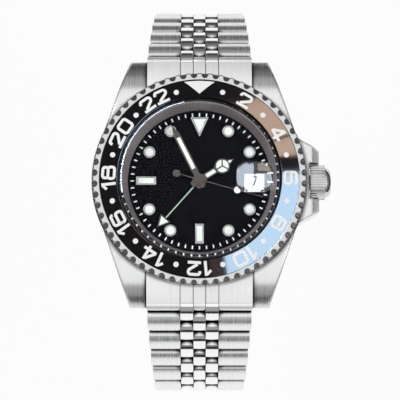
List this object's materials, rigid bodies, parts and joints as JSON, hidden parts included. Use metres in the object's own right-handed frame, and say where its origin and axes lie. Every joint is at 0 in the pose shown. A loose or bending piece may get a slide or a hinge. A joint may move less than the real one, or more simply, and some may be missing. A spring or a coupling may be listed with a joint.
{
  "type": "wristwatch",
  "caption": "Round steel wristwatch with a turning 24-hour bezel, date magnifier, guarded crown and a closed bracelet of five-piece links with a folding clasp.",
  "frame": {"origin": "centre of the case back's outer face, which lies on the wrist", "axes": "+Z out through the dial, +Y to 12 o'clock, +X to 3 o'clock, where the crown is"},
  "size_m": [0.0453, 0.0772, 0.0513],
  "materials": {
    "case_steel": "brushed along the lugs",
    "link_steel": "brushed outer pieces, polished inner pieces",
    "clasp_steel": "brushed",
    "polished_steel": "polished steel",
    "flange_steel": "brushed, dark",
    "hand_steel": "polished steel",
    "bezel_ceramic": "gloss black with white figures",
    "sapphire": "clear",
    "dial_black": "gloss black",
    "lume": "matte pale green-white",
    "gasket_rubber": "matte black",
    "nylon": "matte white",
    "movement_brass": "satin",
    "movement_steel": "satin",
    "date_white": "matte white"
  },
  "bodies": {
    "case": {"mid_case": "case_steel", "case_back": "case_steel", "case_back_gasket": "gasket_rubber", "crystal": "sapphire", "date_magnifier": "sapphire", "crystal_gasket": "gasket_rubber", "rehaut_ring": "flange_steel", "dial": "dial_black", "hour_markers": "polished_steel", "marker_lume": "lume", "movement_ring": "nylon", "main_plate": "movement_brass", "train_bridge": "movement_steel", "balance_cock": "movement_steel", "spring_bars": "case_steel", "end_link_12": "case_steel", "end_link_06": "case_steel", "bezel_spring": "movement_steel"},
    "bezel": {"bezel_ring": "polished_steel", "bezel_insert": "bezel_ceramic"},
    "stem": {"winding_stem": "movement_steel"},
    "crown_body": {"crown": "polished_steel"},
    "seconds": {"seconds_hand": "hand_steel", "fourth_wheel": "movement_brass"},
    "minutes": {"minute_hand": "hand_steel", "centre_wheel": "movement_brass"},
    "hours": {"hour_hand": "hand_steel", "hour_wheel": "movement_brass"},
    "gmt": {"gmt_hand": "hand_steel", "gmt_wheel": "movement_brass"},
    "third": {"third_wheel": "movement_brass"},
    "barrel": {"mainspring_barrel": "movement_brass"},
    "escape": {"escape_wheel": "movement_brass"},
    "pallet": {"pallet_fork": "movement_steel"},
    "balance": {"balance_wheel": "movement_brass"},
    "rotor": {"winding_rotor": "movement_steel"},
    "date": {"date_ring": "date_white"},
    "link_12_01": {"link_12_01": "link_steel"},
    "link_12_02": {"link_12_02": "link_steel"},
    "link_12_03": {"link_12_03": "link_steel"},
    "link_12_04": {"link_12_04": "link_steel"},
    "link_12_05": {"link_12_05": "link_steel"},
    "link_12_06": {"link_12_06": "link_steel"},
    "link_12_07": {"link_12_07": "link_steel"},
    "link_12_08": {"link_12_08": "link_steel"},
    "link_12_09": {"link_12_09": "link_steel"},
    "link_12_10": {"link_12_10": "link_steel"},
    "link_06_01": {"link_06_01": "link_steel"},
    "link_06_02": {"link_06_02": "link_steel"},
    "link_06_03": {"link_06_03": "link_steel"},
    "link_06_04": {"link_06_04": "link_steel"},
    "link_06_05": {"link_06_05": "link_steel"},
    "link_06_06": {"link_06_06": "link_steel"},
    "link_06_07": {"link_06_07": "link_steel"},
    "link_06_08": {"link_06_08": "link_steel"},
    "link_06_09": {"link_06_09": "link_steel"},
    "link_06_10": {"link_06_10": "link_steel"},
    "clasp_cover": {"clasp_cover": "clasp_steel"},
    "clasp_blade_1": {"clasp_blade_1": "clasp_steel"},
    "clasp_blade_2": {"clasp_blade_2": "clasp_steel"}
  },
  "joints": [
    {"name": "bezel_turn", "type": "hinge", "parent": "case", "child": "bezel", "pos_m": [0, 0, 0.0085], "axis": [0, 0, -1], "continuous": true},
    {"name": "crown_pull", "type": "slide", "parent": "case", "child": "stem", "axis": [1, 0, 0], "range_m": [0, 0.0016]},
    {"name": "crown_turn", "type": "hinge", "parent": "stem", "child": "crown_body", "pos_m": [0.022, 0, 0.0043], "axis": [1, 0, 0], "continuous": true},
    {"name": "seconds_run", "type": "hinge", "parent": "case", "child": "seconds", "pos_m": [0, 0, 0.005], "axis": [0, 0, -1], "continuous": true},
    {"name": "minutes_run", "type": "hinge", "parent": "case", "child": "minutes", "pos_m": [0, 0, 0.005], "axis": [0, 0, -1], "continuous": true},
    {"name": "hours_run", "type": "hinge", "parent": "case", "child": "hours", "pos_m": [0, 0, 0.005], "axis": [0, 0, -1], "continuous": true},
    {"name": "gmt_run", "type": "hinge", "parent": "case", "child": "gmt", "pos_m": [0, 0, 0.005], "axis": [0, 0, -1], "continuous": true},
    {"name": "third_wheel_run", "type": "hinge", "parent": "case", "child": "third", "pos_m": [-0.00154, -0.00423, 0.004], "axis": [0, 0, -1], "continuous": true},
    {"name": "barrel_run", "type": "hinge", "parent": "case", "child": "barrel", "pos_m": [-0.00102, 0.00579, 0.004], "axis": [0, 0, -1], "continuous": true},
    {"name": "escape_run", "type": "hinge", "parent": "case", "child": "escape", "pos_m": [0.00342, -0.00287, 0.004], "axis": [0, 0, -1], "continuous": true},
    {"name": "date_run", "type": "hinge", "parent": "case", "child": "date", "pos_m": [0, 0, 0.0058], "axis": [0, 0, -1], "continuous": true},
    {"name": "pallet_rock", "type": "hinge", "parent": "case", "child": "pallet", "pos_m": [0.00502, -0.00421, 0.0031], "axis": [0, 0, -1], "range_deg": [-6, 6]},
    {"name": "balance_swing", "type": "hinge", "parent": "case", "child": "balance", "pos_m": [0.00647, -0.00543, 0.0038], "axis": [0, 0, -1], "range_deg": [-270, 270], "stiffness_Nm_per_rad": 0.00000015},
    {"name": "rotor_turn", "type": "hinge", "parent": "case", "child": "rotor", "pos_m": [0, 0, 0.0022], "axis": [0, 0, -1], "continuous": true},
    {"name": "bracelet_12_open", "type": "hinge", "parent": "case", "child": "link_12_01", "pos_m": [0, 0.0232, 0.00455], "axis": [1, 0, 0], "range_deg": [0, 40]},
    {"name": "hinge_12_02", "type": "hinge", "parent": "link_12_01", "child": "link_12_02", "pos_m": [0, 0.02675, 0.00061], "axis": [1, 0, 0], "range_deg": [0, 4]},
    {"name": "hinge_12_03", "type": "hinge", "parent": "link_12_02", "child": "link_12_03", "pos_m": [0, 0.03001, -0.00357], "axis": [1, 0, 0], "range_deg": [0, 4]},
    {"name": "hinge_12_04", "type": "hinge", "parent": "link_12_03", "child": "link_12_04", "pos_m": [0, 0.03297, -0.00796], "axis": [1, 0, 0], "range_deg": [0, 5]},
    {"name": "hinge_12_05", "type": "hinge", "parent": "link_12_04", "child": "link_12_05", "pos_m": [0, 0.03554, -0.01259], "axis": [1, 0, 0], "range_deg": [0, 12]},
    {"name": "hinge_12_06", "type": "hinge", "parent": "link_12_05", "child": "link_12_06", "pos_m": [0, 0.03709, -0.01766], "axis": [1, 0, 0], "range_deg": [0, 18]},
    {"name": "hinge_12_07", "type": "hinge", "parent": "link_12_06", "child": "link_12_07", "pos_m": [0, 0.037, -0.02296], "axis": [1, 0, 0], "range_deg": [0, 15]},
    {"name": "hinge_12_08", "type": "hinge", "parent": "link_12_07", "child": "link_12_08", "pos_m": [0, 0.03554, -0.02806], "axis": [1, 0, 0], "range_deg": [0, 18]},
    {"name": "hinge_12_09", "type": "hinge", "parent": "link_12_08", "child": "link_12_09", "pos_m": [0, 0.03258, -0.03245], "axis": [1, 0, 0], "range_deg": [0, 21]},
    {"name": "hinge_12_10", "type": "hinge", "parent": "link_12_09", "child": "link_12_10", "pos_m": [0, 0.02823, -0.03549], "axis": [1, 0, 0], "range_deg": [0, 19]},
    {"name": "bracelet_06_open", "type": "hinge", "parent": "case", "child": "link_06_01", "pos_m": [0, -0.0232, 0.00455], "axis": [-1, 0, 0], "range_deg": [0, 40]},
    {"name": "hinge_06_02", "type": "hinge", "parent": "link_06_01", "child": "link_06_02", "pos_m": [0, -0.02675, 0.00061], "axis": [-1, 0, 0], "range_deg": [0, 4]},
    {"name": "hinge_06_03", "type": "hinge", "parent": "link_06_02", "child": "link_06_03", "pos_m": [0, -0.03001, -0.00357], "axis": [-1, 0, 0], "range_deg": [0, 4]},
    {"name": "hinge_06_04", "type": "hinge", "parent": "link_06_03", "child": "link_06_04", "pos_m": [0, -0.03297, -0.00796], "axis": [-1, 0, 0], "range_deg": [0, 5]},
    {"name": "hinge_06_05", "type": "hinge", "parent": "link_06_04", "child": "link_06_05", "pos_m": [0, -0.03554, -0.01259], "axis": [-1, 0, 0], "range_deg": [0, 12]},
    {"name": "hinge_06_06", "type": "hinge", "parent": "link_06_05", "child": "link_06_06", "pos_m": [0, -0.03709, -0.01766], "axis": [-1, 0, 0], "range_deg": [0, 18]},
    {"name": "hinge_06_07", "type": "hinge", "parent": "link_06_06", "child": "link_06_07", "pos_m": [0, -0.037, -0.02296], "axis": [-1, 0, 0], "range_deg": [0, 15]},
    {"name": "hinge_06_08", "type": "hinge", "parent": "link_06_07", "child": "link_06_08", "pos_m": [0, -0.03554, -0.02806], "axis": [-1, 0, 0], "range_deg": [0, 18]},
    {"name": "hinge_06_09", "type": "hinge", "parent": "link_06_08", "child": "link_06_09", "pos_m": [0, -0.03258, -0.03245], "axis": [-1, 0, 0], "range_deg": [0, 21]},
    {"name": "hinge_06_10", "type": "hinge", "parent": "link_06_09", "child": "link_06_10", "pos_m": [0, -0.02823, -0.03549], "axis": [-1, 0, 0], "range_deg": [0, 19]},
    {"name": "clasp_cover_hinge", "type": "hinge", "parent": "link_12_10", "child": "clasp_cover", "pos_m": [0, 0.02314, -0.03695], "axis": [1, 0, 0], "range_deg": [0, 16]},
    {"name": "clasp_unfold_1", "type": "hinge", "parent": "clasp_cover", "child": "clasp_blade_1", "pos_m": [0, -0.01769, -0.03622], "axis": [1, 0, 0], "range_deg": [0, 38]},
    {"name": "clasp_unfold_2", "type": "hinge", "parent": "clasp_blade_1", "child": "clasp_blade_2", "pos_m": [0, 0.01519, -0.0359], "axis": [-1, 0, 0], "range_deg": [0, 38]}
  ],
  "couplings": [
    {"joint": "minutes_run", "follows": "seconds_run", "ratio": 0.016667},
    {"joint": "hours_run", "follows": "seconds_run", "ratio": 0.0013889},
    {"joint": "gmt_run", "follows": "seconds_run", "ratio": 0.00069444},
    {"joint": "third_wheel_run", "follows": "seconds_run", "ratio": -0.13333},
    {"joint": "barrel_run", "follows": "seconds_run", "ratio": -0.0027778},
    {"joint": "escape_run", "follows": "seconds_run", "ratio": -12},
    {"joint": "date_run", "follows": "seconds_run", "ratio": 0.000022401},
    {"joint": "hinge_12_03", "follows": "hinge_12_02", "ratio": 1},
    {"joint": "hinge_12_04", "follows": "hinge_12_02", "ratio": 1.25},
    {"joint": "hinge_12_05", "follows": "hinge_12_02", "ratio": 3},
    {"joint": "hinge_12_07", "follows": "hinge_12_06", "ratio": 0.83333},
    {"joint": "hinge_12_08", "follows": "hinge_12_06", "ratio": 1},
    {"joint": "hinge_12_09", "follows": "hinge_12_06", "ratio": 1.1667},
    {"joint": "hinge_12_10", "follows": "hinge_12_06", "ratio": 1.0556},
    {"joint": "hinge_06_02", "follows": "bracelet_06_open", "ratio": 0.1},
    {"joint": "hinge_06_03", "follows": "bracelet_06_open", "ratio": 0.1},
    {"joint": "hinge_06_04", "follows": "bracelet_06_open", "ratio": 0.125},
    {"joint": "hinge_06_05", "follows": "bracelet_06_open", "ratio": 0.3},
    {"joint": "hinge_06_06", "follows": "bracelet_06_open", "ratio": 0.45},
    {"joint": "hinge_06_07", "follows": "bracelet_06_open", "ratio": 0.375},
    {"joint": "hinge_06_08", "follows": "bracelet_06_open", "ratio": 0.45},
    {"joint": "hinge_06_09", "follows": "bracelet_06_open", "ratio": 0.525},
    {"joint": "hinge_06_10", "follows": "bracelet_06_open", "ratio": 0.475},
    {"joint": "clasp_cover_hinge", "follows": "hinge_12_06", "ratio": 0.88889},
    {"joint": "clasp_unfold_2", "follows": "clasp_unfold_1", "ratio": 1}
  ]
}
